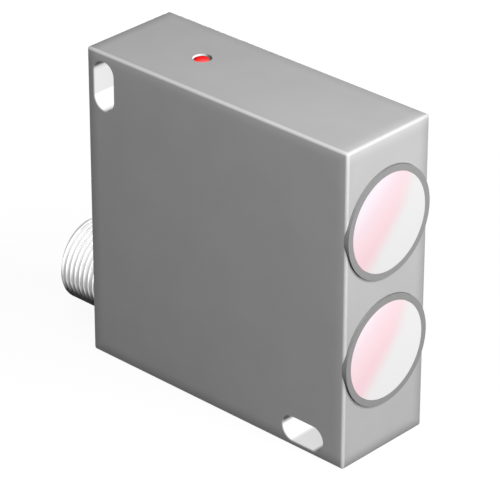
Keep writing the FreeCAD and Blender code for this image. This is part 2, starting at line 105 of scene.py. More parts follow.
# Connector: outside thread, socket with its key, and the slim inner end with the groove for its ring. Of
# each pitch, a share is crest and a share is root. Each side of the key spans twice its flank, in radians.
shell_low, shell_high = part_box("connector_shell")
shell_middle = (shell_low + shell_high) / 2
thread_radius = 7.0 * MM
thread_pitch = 1.0 * MM
thread_depth = 0.6 * MM
thread_start = 0.36
crest_share = 0.25
root_share = 0.2
steps_per_turn = 144
rows_per_pitch = 16
socket_radius = 5.2 * MM
mouth_chamfer = 0.2 * MM
stub_radius = 6.5 * MM
groove_radius = 5.8 * MM
groove_width = 1.4 * MM
key_half_width = 0.6 * MM
key_flank = 0.002
key_height = 0.7 * MM
key_setback = 1.5 * MM
socket_depth = 6.7 * MM
hair = 0.01 * MM

# Circuit board, the leads and solder cones on it, its tracks, and the legs of what stands on it
board_low, board_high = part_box("circuit_board")
board_back, board_face = board_low.y, board_high.y
lead_radius = 0.25 * MM
wire_radius = 0.45 * MM
pad_radius = 0.85 * MM
track_pitch = 1.27 * MM
cone_columns = 24
cone_steps = 7
cone_flare = 2.5
screw_head_radius = 1.7 * MM
leg_reach = 1.05 * MM
tab_reach = 0.35 * MM
tin_colour = (0.72, 0.72, 0.7)

# Floor: half its side, and how its glow rises to full white over a ring round the object
floor_half = 2.0
floor_glow = 0.93
floor_ring = (60 * MM, 150 * MM)

# Camera for a square picture of this many pixels: sensor and lens in millimetres, angles in degrees, and
# the pixel on which the housing's middle lies
picture_side = 500
sensor_width = 36.0
lens_length = 238.04
camera_azimuth = 43.122
camera_elevation = 28.501
camera_roll = -0.075
camera_depth = 503.46 * MM
middle_in_picture = (254.54, 236.35)


def mesh_piece(name, vertices, quads, material, smooth_under=40):
    """Makes an object at the origin from whole arrays of vertices (n, 3) and quads (m, 4).

    Edges whose faces meet at less than smooth_under degrees are shaded smooth.
    """
    mesh = bpy.data.meshes.new(name)
    mesh.from_pydata(vertices.reshape(-1, 3).tolist(), [], quads.reshape(-1, 4).tolist())
    mesh.update()
    mesh.shade_smooth()
    mesh.set_sharp_from_angle(angle=math.radians(smooth_under))
    piece = bpy.data.objects.new(name, mesh)
    bpy.context.scene.collection.objects.link(piece)
    mesh.materials.append(material)
    return piece


def looped_quads(rows, columns):
    """Quads of a grid that closes on itself both ways: cell (i, j) joins rows i, i+1 and columns j, j+1."""
    row, column = np.meshgrid(np.arange(rows), np.arange(columns), indexing="ij")
    next_row = (row + 1) % rows
    next_column = (column + 1) % columns
    corners = [row * columns + column, row * columns + next_column,
               next_row * columns + next_column, next_row * columns + column]
    return np.stack(corners, axis=-1).reshape(-1, 4)


def turned_x(along, radius, angles, centre):
    """Points of a shape turned on an X axis: (along, y + radius sin(angle), z + radius cos(angle)).

    y and z are the centre's. along and radius have one row for each step of the profile and one column for
    each angle.
    """
    return np.stack([along,
                     centre.y + radius * np.sin(angles),
                     centre.z + radius * np.cos(angles)], axis=-1)


def thread_relief(along, angles):
    """How far the thread is cut below its crest at (along, angle).

    phase = along / pitch - angle / full turn + start, from 0 to 1 across a tooth. The distance of the phase
    from the groove's middle, doubled, is 0 there and 1 at the crest's middle: the cut is full up to the
    root's share of the pitch, nothing from the crest's share on, and straight in between.
    """
    phase = np.mod(along / thread_pitch - angles / FULL_TURN + thread_start, 1.0)
    from_groove = np.abs(2 * phase - 1)
    return thread_depth * np.clip((1 - crest_share - from_groove) / (1 - crest_share - root_share), 0, 1)


def connector_shell(material):
    """Closed turned shape: its profile runs in along the thread, round the inner end and out of the socket.

    Every profile point is (along, radius) at each angle. On the thread the radius is the crest less the
    thread's relief, and never outside the mouth's chamfer cone. A land as wide as a hair at the mouth keeps
    the edge there sharp, also where a flank meets it. In the socket, a key stands in at the top: two angles
    close together make each of its sides.
    """
    mouth, inner_end = shell_low.x, shell_high.x
    centre = Vector((0, 0, shell_middle.z))
    key_angle = math.asin(key_half_width / socket_radius)
    key_sides = [side * key_angle + step for side in (-1, 1) for step in (-key_flank, key_flank)]
    angles = np.linspace(-math.pi, math.pi, steps_per_turn, endpoint=False)
    angles = angles[np.abs(np.abs(angles) - key_angle) > 3 * key_flank]
    angles = np.sort(np.concatenate([angles, key_sides]))
    turns = (rear - mouth) / thread_pitch
    outside = np.linspace(mouth + hair, rear, int(turns * rows_per_pitch) + 1)[:, None] + 0 * angles
    cone = thread_radius - mouth_chamfer + (outside - mouth)
    crest = np.minimum(thread_radius - thread_relief(outside, angles), cone)

    groove = (rear + inner_end) / 2
    inner = np.array([
        (rear, stub_radius),
        (groove - groove_width / 2, stub_radius),
        (groove - groove_width / 2, groove_radius),
        (groove + groove_width / 2, groove_radius),
        (groove + groove_width / 2, stub_radius),
        (inner_end, stub_radius),
        (inner_end, socket_radius),
    ])
    key_start, key_end = mouth + key_setback, mouth + socket_depth
    bore = np.array([key_end + hair, key_end, key_start, key_start - hair, mouth + mouth_chamfer])
    bore = bore[:, None] + 0 * angles
    in_key = (np.abs(angles) < key_angle) & (bore >= key_start) & (bore <= key_end)
    bore_radius = socket_radius - key_height * in_key
    lip = np.array([[mouth, socket_radius + mouth_chamfer]])

    along = np.concatenate([mouth + 0 * crest[:1], outside, inner[:, :1] + 0 * angles, bore,
                            lip[:, :1] + 0 * angles])
    radius = np.concatenate([crest[:1], crest, inner[:, 1:] + 0 * angles, bore_radius,
                             lip[:, 1:] + 0 * angles])
    points = turned_x(along, radius, angles, centre)
    return mesh_piece("threaded_shell", points, looped_quads(*along.shape)[:, ::-1], material)


def zipped_quads(first, count):
    """Quads that close a flat ring of vertices, numbered on from first, by strips across it."""
    step = np.arange(count // 2 - 1)
    return first + np.stack([step, step + 1, count - 2 - step, count - 1 - step], axis=-1)


def dome_profile(radius, rise, steps):
    """Depth below the top of a dome, at even steps of radius from its pole to its rim.

    At a distance r from the axis the depth is sphere - sqrt(sphere^2 - r^2), with sphere the dome's own
    radius, (radius^2 + rise^2) / (2 rise).
    """
    sphere = (radius ** 2 + rise ** 2) / (2 * rise)
    away = np.linspace(pole_radius, radius, steps)
    return sphere - np.sqrt(sphere ** 2 - away ** 2), away


def lens(name, node, material):
    """Turned lens: its profile runs from the front dome's pole over the edge to the rear dome's pole."""
    low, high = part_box(node)
    angles = np.linspace(0, FULL_TURN, lens_columns, endpoint=False)
    front_depth, front_away = dome_profile(lens_radius, front_rise, front_dome_steps)
    rear_depth, rear_away = dome_profile(rear_dome_radius, rear_rise, rear_dome_steps)
    back = high.x - front_rise - lens_edge
    along = np.concatenate([high.x - front_depth, [back], (low.x + rear_depth)[::-1]])
    radius = np.concatenate([front_away, [lens_radius], rear_away[::-1]])
    points = turned_x(along[:, None] + 0 * angles, radius[:, None] + 0 * angles, angles, (low + high) / 2)
    last_ring = (len(along) - 1) * lens_columns
    sides = looped_quads(len(along), lens_columns)[:last_ring]
    front_cap = zipped_quads(0, lens_columns)[:, ::-1]
    rear_cap = zipped_quads(last_ring, lens_columns)
    return mesh_piece(name, points, np.concatenate([sides, front_cap, rear_cap]), material)


def solder_joints(name, places, level, side, wire, foot, height, material):
    """Solder cones on the board round the wires at the given (x, z) places, all in one piece.

    At a share t of the height the radius is wire + (foot - wire) (1 - t)^flare. The profile closes across
    the tip, down a bore inside the wire and across the base. Each cone stands out from level to the side,
    1 or -1 along Y.
    """
    share = np.linspace(0, 1, cone_steps)
    radius = np.concatenate([[wire / 2], wire + (foot - wire) * (1 - share) ** cone_flare, [wire / 2]])
    away = np.concatenate([[0], share, [1]]) * height
    angles = np.linspace(0, FULL_TURN, cone_columns, endpoint=False)
    centres = np.array(places)
    points = np.stack(np.broadcast_arrays(
        centres[:, 0, None, None] + radius[:, None] * np.cos(angles),
        level + side * away[:, None],
        centres[:, 1, None, None] - side * radius[:, None] * np.sin(angles)), axis=-1)
    ring = looped_quads(len(radius), cone_columns)
    quads = ring + (np.arange(len(centres)) * len(radius) * cone_columns)[:, None, None]
    return mesh_piece(name, points, quads, material)


def new_material(name, colour=(0.8, 0.8, 0.8), metallic=0.0, roughness=0.5, coat=0.0, specular=0.5,
                 glow=0.0):
    """A material with one Principled shader, whose constant values sit on its own sockets."""
    material = bpy.data.materials.new(name)
    material.use_nodes = True
    shader = material.node_tree.nodes["Principled BSDF"]
    shader.inputs["Base Color"].default_value = (*colour, 1)
    shader.inputs["Metallic"].default_value = metallic
    shader.inputs["Roughness"].default_value = roughness
    shader.inputs["Coat Weight"].default_value = coat
    shader.inputs["Coat Roughness"].default_value = 0.1
    shader.inputs["Specular IOR Level"].default_value = specular
    shader.inputs["Emission Strength"].default_value = glow
    return material, shader


def grey(level):
    """A neutral colour."""
    return (level, level, level)


class Tree:
    """Short ways to add nodes to one material's node tree."""

    def __init__(self, material):
        self.nodes = material.node_tree.nodes
        self.links = material.node_tree.links

    def node(self, kind, **settings):
        """A new node of a kind, with its settings."""
        made = self.nodes.new(kind)
        for name, value in settings.items():
            setattr(made, name, value)
        return made

    def put(self, value, socket):
        """Links an output socket, or sets a plain value."""
        if isinstance(value, bpy.types.NodeSocket):
            self.links.new(value, socket)
        else:
            socket.default_value = value

    def place(self, centre=(0, 0, 0), scale=(1, 1, 1)):
        """Object coordinates less a centre, then scaled."""
        here = self.node("ShaderNodeTexCoord").outputs["Object"]
        moved = self.node("ShaderNodeVectorMath", operation="SUBTRACT")
        self.put(here, moved.inputs[0])
        self.put(centre, moved.inputs[1])
        scaled = self.node("ShaderNodeVectorMath", operation="MULTIPLY")
        self.put(moved.outputs[0], scaled.inputs[0])
        self.put(scale, scaled.inputs[1])
        return scaled.outputs[0]

    def split(self, vector):
        """The x, y and z of a vector."""
        parts = self.node("ShaderNodeSeparateXYZ")
        self.put(vector, parts.inputs[0])
        return parts.outputs

    def math(self, operation, *values):
        """One operation on numbers or output sockets."""
        made = self.node("ShaderNodeMath", operation=operation)
        for value, socket in zip(values, made.inputs):
            self.put(value, socket)
        return made.outputs[0]

    def chain(self, operation, values):
        """Several numbers taken together by one operation."""
        result = values[0]
        for value in values[1:]:
            result = self.math(operation, result, value)
        return result

    def total(self, *values):
        return self.chain("ADD", values)

    def product(self, *values):
        return self.chain("MULTIPLY", values)

    def greatest(self, *values):
        return self.chain("MAXIMUM", values)

    def along(self, direction, *parts):
        """How far a place, given by its parts, lies along a direction: the sum of their products."""
        return self.total(*[self.product(part, share) for part, share in zip(parts, direction)])

    def reach(self, first, second):
        """Length of the two numbers taken as the sides of a right angle."""
        return self.math("SQRT", self.total(self.product(first, first), self.product(second, second)))

    def size(self, value):
        """A number without its sign."""
        return self.math("ABSOLUTE", value)

    def under(self, value, limit):
        """1 where the value is under the limit, else 0."""
        return self.math("LESS_THAN", value, limit)

    def over(self, value, limit):
        """1 where the value is over the limit, else 0."""
        return self.math("GREATER_THAN", value, limit)

    def noise(self, vector, size, detail=2.0):
        """Noise whose features are about size metres wide."""
        made = self.node("ShaderNodeTexNoise")
        self.put(vector, made.inputs["Vector"])
        self.put(1 / size, made.inputs["Scale"])
        self.put(detail, made.inputs["Detail"])
        return made.outputs["Fac"]

    def span(self, value, from_low, from_high, to_low, to_high, smooth=False):
        """Maps one range of numbers onto another, held at its ends."""
        made = self.node("ShaderNodeMapRange", clamp=True)
        made.interpolation_type = "SMOOTHSTEP" if smooth else "LINEAR"
        for number, socket in zip((value, from_low, from_high, to_low, to_high), made.inputs):
            self.put(number, socket)
        return made.outputs[0]

    def mix(self, share, first, second):
        """Mixes two colours."""
        made = self.node("ShaderNodeMix", data_type="RGBA")
        self.put(share, made.inputs["Factor"])
        self.put(first if isinstance(first, bpy.types.NodeSocket) else (*first, 1), made.inputs["A"])
        self.put(second if isinstance(second, bpy.types.NodeSocket) else (*second, 1), made.inputs["B"])
        return made.outputs["Result"]

    def ramp(self, value, *stops):
        """Colour along a row of (position, colour) stops."""
        made = self.node("ShaderNodeValToRGB")
        self.put(value, made.inputs[0])
        elements = made.color_ramp.elements
        elements[0].position, elements[0].color = stops[0][0], (*stops[0][1], 1)
        elements[1].position, elements[1].color = stops[-1][0], (*stops[-1][1], 1)
        for place, colour in stops[1:-1]:
            elements.new(place).color = (*colour, 1)
        return made.outputs[0]

    def facing(self, direction):
        """Cosine between the surface's normal and a direction."""
        made = self.node("ShaderNodeVectorMath", operation="DOT_PRODUCT")
        self.put(self.node("ShaderNodeNewGeometry").outputs["Normal"], made.inputs[0])
        self.put(direction, made.inputs[1])
        return made.outputs["Value"]

    def bump(self, height, shader):
        """Bump whose height is given in millimetres."""
        made = self.node("ShaderNodeBump")
        made.inputs["Distance"].default_value = MM
        self.put(height, made.inputs["Height"])
        self.put(made.outputs[0], shader.inputs["Normal"])


def direction_to(azimuth, elevation):
    """Direction from the object to a place round it, whose azimuth and elevation are in degrees."""
    azimuth, elevation = math.radians(azimuth), math.radians(elevation)
    return Vector((math.sin(azimuth) * math.cos(elevation),
                   -math.cos(azimuth) * math.cos(elevation),
                   math.sin(elevation)))


def make_camera():
    """Camera on the given azimuth and elevation, placed so that the housing's middle lands on its pixel.

    With back the direction from the object to the camera, right = forward x up and down = forward x right.
    The middle lies at depth along forward, and at (pixel - centre) / focal pixels x depth along right, down.
    """
    roll = math.radians(camera_roll)
    back = direction_to(camera_azimuth, camera_elevation)
    right = (-back).cross(Vector((0, 0, 1))).normalized()
    down = (-back).cross(right)
    right, down = (right * math.cos(roll) + down * math.sin(roll),
                   down * math.cos(roll) - right * math.sin(roll))
    focal_pixels = lens_length / sensor_width * picture_side
    across = (middle_in_picture[0] - picture_side / 2) / focal_pixels * camera_depth
    below = (middle_in_picture[1] - picture_side / 2) / focal_pixels * camera_depth
    place = middle + back * camera_depth - right * across - down * below

    data = bpy.data.cameras.new("camera")
    data.sensor_width = sensor_width
    data.lens = lens_length
    data.clip_start = 0.01
    data.clip_end = 20
    camera = bpy.data.objects.new("camera", data)
    turn = Matrix((right, -down, back)).transposed().to_4x4()
    camera.matrix_world = Matrix.Translation(place) @ turn
    bpy.context.scene.collection.objects.link(camera)
    bpy.context.scene.camera = camera


def make_lamp(name, azimuth, elevation, distance, size, level):
    """Square soft lamp aimed at the housing's middle. A level of 1 lights a white card there to white."""
    back = direction_to(azimuth, elevation)
    data = bpy.data.lights.new(name, "AREA")
    data.shape = "SQUARE"
    data.size = size
    data.energy = level * math.pi ** 2 * distance ** 2
    lamp = bpy.data.objects.new(name, data)
    lamp.location = middle + back * distance
    lamp.rotation_mode = "QUATERNION"
    lamp.rotation_quaternion = (-back).to_track_quat("-Z", "Y")
    bpy.context.scene.collection.objects.link(lamp)


def seen_rays(tree):
    """1 for rays from the camera, off a glossy surface or through glass, else 0."""
    path = tree.node("ShaderNodeLightPath")
    return tree.greatest(path.outputs["Is Glossy Ray"], path.outputs["Is Transmission Ray"],
                         path.outputs["Is Camera Ray"])


def make_world(level):
    """White to the eye and in reflections, and a plain grey light on everything else."""
    world = bpy.data.worlds.new("studio")
    bpy.context.scene.world = world
    world.use_nodes = True
    tree = Tree(world)
    background = tree.nodes["Background"]
    background.inputs["Color"].default_value = (1, 1, 1, 1)
    strength = tree.span(seen_rays(tree), 0, 1, level, 1)
    tree.put(strength, background.inputs["Strength"])


def make_floor():
    """Wide floor: white to the eye apart from a faint shadow, and a plain grey that lights little else.

    Its glow rises to full white away from the object, where the lamps no longer reach it.
    """
    corners = floor_half * np.array([[-1, -1, 0], [1, -1, 0], [1, 1, 0], [-1, 1, 0]])
    material = bpy.data.materials.new("floor")
    material.use_nodes = True
    tree = Tree(material)
    tree.nodes.clear()
    plain = tree.node("ShaderNodeBsdfDiffuse")
    plain.inputs["Color"].default_value = (*grey(0.2), 1)
    shadowed = tree.node("ShaderNodeBsdfDiffuse")
    shadowed.inputs["Color"].default_value = (*grey(0.12), 1)
    glow = tree.node("ShaderNodeEmission")
    glow.inputs["Color"].default_value = (1, 1, 1, 1)
    x, y, _ = tree.split(tree.place())
    tree.put(tree.span(tree.reach(x, y), *floor_ring, floor_glow, 1.0), glow.inputs["Strength"])
    seen = tree.node("ShaderNodeAddShader")
    tree.put(shadowed.outputs[0], seen.inputs[0])
    tree.put(glow.outputs[0], seen.inputs[1])
    chosen = tree.node("ShaderNodeMixShader")
    tree.put(seen_rays(tree), chosen.inputs[0])
    tree.put(plain.outputs[0], chosen.inputs[1])
    tree.put(seen.outputs[0], chosen.inputs[2])
    tree.put(chosen.outputs[0], tree.node("ShaderNodeOutputMaterial").inputs[0])
    floor = mesh_piece("floor", corners, np.array([[0, 1, 2, 3]]), material)


def slot_places(tree):
    """For both slots: distance from the slot's middle line, and the direction of that distance in x and z.

    The distance is made of max(|run| - half run, 0) and the crosswise offset.
    """
    places = []
    for name, upright in (("rear_slot", True), ("front_slot", False)):
        x, _, z = tree.split(tree.place(centre=mounts[name]["pos_m"]))
        run, across = (z, x) if upright else (x, z)
        beyond = tree.greatest(tree.math("SUBTRACT", tree.size(run), slot_run), 0.0)
        away = tree.reach(beyond, across)
        signed = tree.product(beyond, tree.math("SIGN", run))
        out_x, out_z = (across, signed) if upright else (signed, across)
        places.append((away, tree.math("DIVIDE", out_x, away), tree.math("DIVIDE", out_z, away)))
    return places


def slot_walls(tree):
    """1 on the walls of both slots, else 0: the near and far faces are left out by their distance in Y."""
    within = tree.under(tree.size(tree.split(tree.place())[1]), far - slack)
    return tree.greatest(*[tree.product(tree.under(away, slot_radius + slack), within)
                           for away, _, _ in slot_places(tree)])


def lamp_hole_wall(tree):
    """1 on the wall of the lamp's hole, else 0."""
    x, y, z = tree.split(tree.place(centre=(lamp_place.x, lamp_place.y, top)))
    in_hole = tree.under(tree.reach(x, y), lamp_hole_radius + slack)
    return tree.product(in_hole, tree.under(tree.size(tree.total(z, lamp_wall_middle)), lamp_wall_half))


def painted_rim_shading(tree):
    """Painted shade and painted light on the coat just before each slot, in place of broken rims.

    The band is painted dark at its upper rear, more on the front slot, and painted light, as a glow, at its
    lower rear, where it faces the front and up.
    """
    shades, lights = [], []
    for (away, out_x, out_z), darkest in zip(slot_places(tree), (0.35, 0.55)):
        rim = tree.span(away, slot_radius + painted_rim_width, slot_radius + 0.4 * painted_rim_width, 0, 1)
        up_and_rear = tree.along(upper_rear, out_x, out_z)
        down_and_rear = tree.along(lower_rear, out_x, out_z)
        shades.append(tree.product(rim, tree.span(up_and_rear, 0.84, 0.97, 0, darkest)))
        lights.append(tree.product(rim, tree.span(down_and_rear, 0.3, 0.8, 0, 0.3)))
    return tree.greatest(*shades), tree.greatest(*lights)


def closeness(tree, reach):
    """For each outside face of the housing, 1 on the face, falling straight to 0 at a depth of reach."""
    x, y, z = tree.split(tree.place())
    depths = {"front": (x, front - reach, front), "rear": (x, rear + reach, rear),
              "near": (y, near + reach, near), "far": (y, far - reach, far),
              "top": (z, top - reach, top), "bottom": (z, reach, 0)}
    return {face: tree.span(value, start, end, 0, 1) for face, (value, start, end) in depths.items()}


def edge_glint(tree):
    """Painted highlight: a faint glow on the near face's two light edges, on the rounding's near side."""
    close = closeness(tree, edge_radius)
    meeting = tree.greatest(close["top"], tree.product(close["front"], 0.3))
    return tree.product(close["near"], close["near"], meeting, 0.2)


def painted_edge_highlight(tree):
    """Painted highlight: lighter coat on the roundings between the front, near and top faces.

    On a quarter round the closenesses to its two faces are the sine and cosine of the angle, so twice their
    product is 0 at both faces and 1 in the middle.
    """
    close = closeness(tree, edge_radius)
    pairs = (("front", "near", 1.0), ("near", "top", 0.9), ("front", "top", 0.45))
    return tree.greatest(*[tree.product(close[one], close[other], 2.0 * share)
                           for one, other, share in pairs])


def painted_light_band(tree):
    """Painted light: paler coat on a face's last band before a light edge: (closeness to the edge)^1.6."""
    on_face = closeness(tree, edge_radius)
    to_edge = closeness(tree, band_width)
    ways = (("near", "top", 1.0), ("near", "front", 0.75), ("top", "front", 0.7), ("front", "top", 0.8))
    return tree.greatest(*[tree.product(on_face[face], tree.math("POWER", to_edge[edge], 1.6), share)
                           for face, edge, share in ways])


def edge_shade(tree):
    """Painted shade on the last band before the rear, bottom and far edges: (product of closenesses)^1.5."""
    close = closeness(tree, band_width)
    pairs = (("near", "rear", 0.45), ("top", "rear", 0.5),
             ("near", "bottom", 0.55), ("front", "bottom", 0.55),
             ("top", "far", 0.25), ("front", "far", 0.35),
             ("far", "rear", 0.3), ("far", "bottom", 0.3))
    shades = []
    for one, other, share in pairs:
        in_corner = tree.math("POWER", tree.product(close[one], close[other]), 1.5)
        shades.append(tree.product(in_corner, share))
    return tree.greatest(*shades)


def edge_roll(tree):
    """Drop of the surface in millimetres beside the outside edges: 0.14 x the sum of closeness squared.

    The coat rolls off before an edge by up to 8 degrees.
    """
    squares = [tree.product(close, close) for close in closeness(tree, roll_width).values()]
    return tree.product(tree.total(*squares), 0.14)


def coat_colour(tree):
    """Grey enamel with faint clouds."""
    cloud = tree.noise(tree.place(), 9 * MM, detail=3)
    return tree.mix(tree.span(cloud, 0.3, 0.7, 0, 1), grey(0.515), grey(0.545))


def coat_grain(tree):
    """Height of the enamel's fine grain, in millimetres."""
    return tree.product(tree.noise(tree.place(), 0.25 * MM, detail=1), 0.004)


def painted_slot_reflection(tree):
    """Painted reflection on a slot's bare wall: a glow in place of the studio that the wall would mirror.

    It grows as the wall turns to the front and up, which is at the slot's lower rear, and is a faint light
    on what faces away. Painted shade takes it away where the wall turns to the front and down, at the
    slot's upper rear, most in the front slot.
    """
    upwards = tree.facing((-lower_rear[0], 0, -lower_rear[1]))
    downwards = tree.facing((-upper_rear[0], 0, -upper_rear[1]))
    glow = tree.ramp(tree.span(upwards, -1, 1, 0, 1),
                     (0.0, grey(0.35)), (0.35, grey(0.2)), (0.5, grey(0.04)),
                     (0.61, grey(0.06)), (0.73, grey(0.2)), (0.78, grey(0.45)),
                     (0.83, grey(0.68)), (0.88, grey(0.78)), (0.91, grey(1)))
    in_front = tree.over(tree.split(tree.place())[0], 0.0)
    first_dim = tree.span(in_front, 0, 1, 0.88, 0.74)
    dimmest = tree.span(in_front, 0, 1, 0.35, 0.04)
    return tree.product(glow, tree.span(downwards, first_dim, 0.99, 1, dimmest))


def painted_hole_reflection(tree):
    """Painted reflection on the lamp hole's bare wall: glows white facing the front and far side, else dim.
    """
    return tree.ramp(tree.span(tree.facing((0.73, 0.68, 0)), -1, 1, 0, 1),
                     (0.15, grey(0.06)), (0.28, grey(0.25)), (0.38, grey(0.52)), (0.5, grey(0.68)),
                     (0.74, grey(1)))


def housing_finish():
    """Satin grey coat with painted highlights and painted shade along its rolled edges.

    What lies deeper than the skin is raw casting, and the walls of the slots and the lamp's hole are bare,
    with a painted reflection glowing on them.
    """
    skin = 0.9 * MM
    material, shader = new_material("housing_coat", specular=0.25)
    tree = Tree(material)
    # Painted light: the coat turns paler on the bands beside the lit edges.
    coat_and_painted_light = tree.mix(tree.product(painted_light_band(tree), 0.5), coat_colour(tree), grey(0.82))
    painted_rim_shade, painted_rim_light = painted_rim_shading(tree)
    # Painted shade: the coat darkens towards near black beside the rear, bottom and far edges and at the
    # slots' rims.
    shaded = tree.mix(tree.greatest(edge_shade(tree), painted_rim_shade), coat_and_painted_light, grey(0.02))
    # Painted highlight: the coat turns lighter on the roundings between the front, near and top faces.
    coat_and_painted_edges = tree.mix(painted_edge_highlight(tree), shaded, grey(0.88))
    inside = tree.under(tree.greatest(*closeness(tree, skin).values()), 0.001)
    casting = tree.mix(tree.noise(tree.place(), 1.2 * MM, detail=4), grey(0.34), grey(0.46))
    hole = lamp_hole_wall(tree)
    bare = tree.greatest(slot_walls(tree), hole)
    # The bare walls have a dark base, so that their painted reflection alone makes them light.
    tree.put(tree.mix(bare, tree.mix(inside, coat_and_painted_edges, casting), grey(0.1)), shader.inputs["Base Color"])
    tree.put(tree.greatest(tree.span(inside, 0, 1, 0.45, 0.6), bare), shader.inputs["Roughness"])
    tree.put((1, 1, 1, 1), shader.inputs["Emission Color"])
    # Painted light, as a glow: on the slots' lit rims and on the near face's edge highlight.
    outside = tree.total(painted_rim_light, edge_glint(tree))
    # Painted reflection glows on the bare walls of the slots and the lamp's hole.
    painted_reflection = tree.mix(hole, painted_slot_reflection(tree), painted_hole_reflection(tree))
    tree.put(tree.mix(bare, outside, painted_reflection), shader.inputs["Emission Strength"])
    tree.bump(tree.math("SUBTRACT", coat_grain(tree), edge_roll(tree)), shader)
    return material


def cover_finish():
    """The housing's coat, rubbed a little paler along the plate's outline."""
    low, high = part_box("side_cover")
    material, shader = new_material("cover_coat", roughness=0.45)
    tree = Tree(material)
    x, _, z = tree.split(tree.place(centre=(low + high) / 2))
    half = (high - low) / 2
    rub = 0.25 * MM
    border = tree.greatest(tree.span(tree.size(x), half.x - rub, half.x, 0, 1),
                           tree.span(tree.size(z), half.z - rub, half.z, 0, 1))
    worn = tree.product(border, tree.noise(tree.place(), 1.5 * MM))
    tree.put(tree.mix(worn, coat_colour(tree), grey(0.75)), shader.inputs["Base Color"])
    tree.bump(coat_grain(tree), shader)
    return material


def bezel_finish(name, centre):
    """Matt dark grey with fine turned rings. The rim's wall has painted light above, painted shade below."""
    material, shader = new_material(name)
    tree = Tree(material)
    ring_pitch = 0.12 * MM
    rim = front + bezel_proud
    _, y, z = tree.split(tree.place(centre=centre))
    fine = tree.noise(tree.place(), 0.4 * MM)
    rings = tree.math("SINE", tree.product(tree.reach(y, z), FULL_TURN / ring_pitch))
    face = tree.mix(fine, grey(0.27), grey(0.295))
    on_wall = tree.span(tree.split(tree.place())[0], rim - 0.03 * MM, rim - 0.1 * MM, 0, 1)
    # Painted light and shade on the rim's wall, by the way it faces: pale above, near black below and near.
    wall = tree.ramp(tree.span(tree.facing((0, -0.5, -0.86)), -1, 1, 0, 1),
                     (0.0, grey(0.22)), (0.3, grey(0.4)), (0.6, grey(0.42)),
                     (0.75, grey(0.3)), (0.88, grey(0.02)), (1.0, grey(0.012)))
    tree.put(tree.mix(on_wall, face, wall), shader.inputs["Base Color"])
    tree.bump(tree.total(tree.product(fine, 0.003), tree.product(rings, 0.0004)), shader)
    return material


def lens_finish(name, centre, shift, gain):
    """Milky glass with a painted reflection and a painted glow: pink paling to white at the top and near
    side, light grey beyond a soft slanting line.

    The line's slope is 0.82, and it steepens from 2 mm above the middle up. shift moves the line and the
    paling, in millimetres, for a lens that sits lower, and gain evens out its painted glow.
    """
    body_share = 0.42
    material, shader = new_material(name, roughness=0.2, specular=0.3, glow=0.5 * gain)
    tree = Tree(material)
    _, y, z = tree.split(tree.place(centre=centre))
    up_and_near = tree.math("SUBTRACT", z, tree.product(y, 0.8))
    paling = tree.span(up_and_near, 3 * shift * MM, (9 + 3 * shift) * MM, 0, 1)
    pink = tree.ramp(paling, (0.0, (0.98, 0.7, 0.75)), (0.33, (1.0, 0.75, 0.795)),
                     (0.67, (1.0, 0.8, 0.87)), (1.0, (1.0, 0.92, 0.98)))
    bend = tree.product(tree.greatest(tree.total(z, -2 * MM), 0.0), 0.35)
    beyond = tree.total(y, tree.product(z, -0.82), bend)
    side = tree.span(beyond, (-1.9 - shift) * MM, (3.4 - shift) * MM, 0, 1, smooth=True)
    colour = tree.mix(side, pink, grey(0.885))
    tree.put(tree.mix(body_share, grey(0), colour), shader.inputs["Base Color"])
    # The lens glows in its painted colours: a painted glow.
    tree.put(colour, shader.inputs["Emission Color"])
    return material


def lamp_finish():
    """Clear red resin, lit from within, with painted light and shade: pinkish towards the front and near
    side, and dark at its dome's ends.

    The grey ring of painted shade at the dome's far end is measured from a point a little rear and near
    of the lamp's axis.
    """
    material, shader = new_material("lamp_red", roughness=0.3, specular=0, glow=0.35)
    tree = Tree(material)
    x, y, z = tree.split(tree.place(centre=lamp_place))
    towards = tree.along((0.68, -0.73), x, y)
    across = tree.along((0.73, 0.68), x, y)
    slanting = tree.total(towards, tree.product(across, 0.3))
    # Painted light: darker red at the rear, pinkish towards the front and near side.
    red = tree.ramp(tree.span(slanting, -1.3 * MM, 1.3 * MM, 0, 1),
                    (0.0, (0.8, 0.006, 0.006)), (0.35, (0.9, 0.015, 0.016)),
                    (0.65, (1.0, 0.04, 0.04)), (1.0, (1.0, 0.15, 0.16)))
    away = tree.reach(tree.total(across, 0.16 * MM), towards)
    ring = tree.product(tree.span(away, 1.0 * MM, 1.35 * MM, 0, 1), tree.span(towards, 0, 0.8 * MM, 1, 0))
    near_end = tree.product(tree.span(across, -0.7 * MM, -1.3 * MM, 0, 0.9),
                            tree.span(towards, 0.1 * MM, 0.7 * MM, 1, 0))
    dome = tree.over(z, lamp_high.z - lamp_place.z - lamp_dome)
    # Painted shade: near black at the dome's near end, and a grey ring at its far end.
    shaded = tree.mix(tree.product(near_end, dome), red, (0.03, 0.004, 0.004))
    resin = tree.mix(tree.product(ring, dome), shaded, (0.12, 0.09, 0.09))
    tree.put(resin, shader.inputs["Base Color"])
    tree.put(resin, shader.inputs["Emission Color"])
    return material


